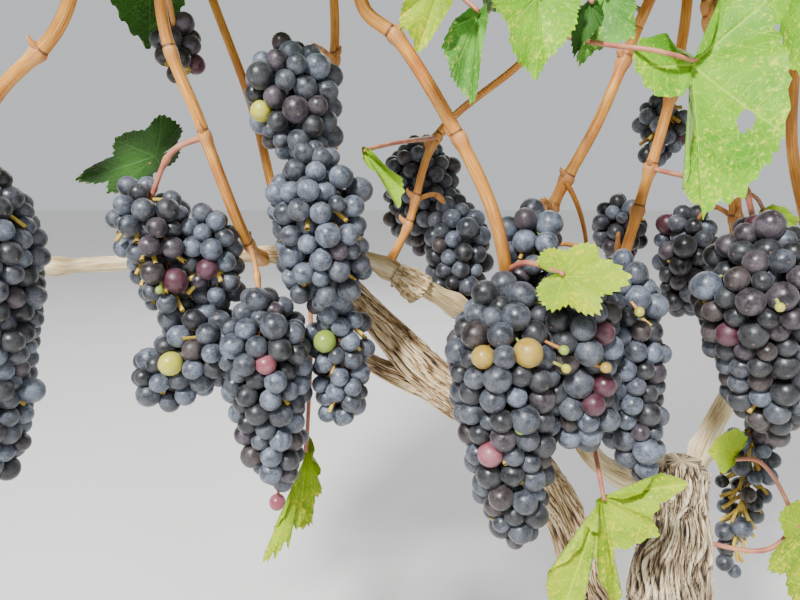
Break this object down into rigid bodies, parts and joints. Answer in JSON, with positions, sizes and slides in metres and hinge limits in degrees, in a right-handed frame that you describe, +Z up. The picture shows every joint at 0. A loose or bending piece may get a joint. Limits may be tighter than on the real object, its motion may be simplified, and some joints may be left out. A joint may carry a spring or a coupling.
{
  "type": "grapevine",
  "caption": "Rooted grapevine in ripe fruit: short gnarled trunk, two level fruiting canes, upright leafy shoots and hanging bunches of blue-black grapes.",
  "frame": {"origin": "middle of the flat cut under the trunk, at ground level", "axes": "+Z up, X along the vineyard row, -Y the side seen in the picture"},
  "size_m": [1.0275, 0.382, 1.7311],
  "materials": {
    "bark": "shaggy grey-brown bark peeling in strips",
    "cane": "weathered straw-grey wood with a long fibre",
    "shoot": "smooth ripened orange-brown shoot",
    "foliage": "green leaf blades mottled with yellow",
    "berries": "blue-black skin under a dusty waxy bloom"
  },
  "bodies": {
    "root": {"trunk": "bark", "left_leg": "bark", "upper_stub": "bark", "lower_stub": "bark", "left_rise": "cane", "left_cane": "cane", "right_rise": "cane", "right_cane": "cane", "shoot_1": "shoot", "shoot_2": "shoot", "shoot_3": "shoot", "shoot_4": "shoot", "shoot_5": "shoot", "shoot_6": "shoot", "shoot_7": "shoot", "shoot_8": "shoot", "shoot_9": "shoot", "shoot_10": "shoot", "shoot_11": "shoot", "shoot_12": "shoot", "shoot_13": "shoot", "shoot_14": "shoot", "leaves_1": "foliage", "leaves_2": "foliage", "leaves_3": "foliage", "leaves_4": "foliage", "leaves_5": "foliage", "leaves_6": "foliage", "leaves_7": "foliage", "leaves_8": "foliage", "leaves_9": "foliage", "leaves_10": "foliage", "leaves_11": "foliage", "leaves_12": "foliage", "leaves_13": "foliage", "leaves_14": "foliage", "low_leaf_left": "foliage", "low_leaf_centre": "foliage", "low_leaf_trunk": "foliage", "low_leaf_right": "foliage", "low_leaf_back": "foliage", "bunch_1": "berries", "bunch_2": "berries", "bunch_3": "berries", "bunch_4": "berries", "bunch_5": "berries", "bunch_6": "berries", "bunch_7": "berries", "bunch_8": "berries", "bunch_9": "berries", "bunch_10": "berries", "bunch_11": "berries", "bunch_12": "berries", "bunch_13": "berries", "bunch_14": "berries", "bunch_15": "berries", "bunch_16": "berries", "bunch_17": "berries", "bunch_18": "berries", "bunch_19": "berries"}
  },
  "joints": []
}
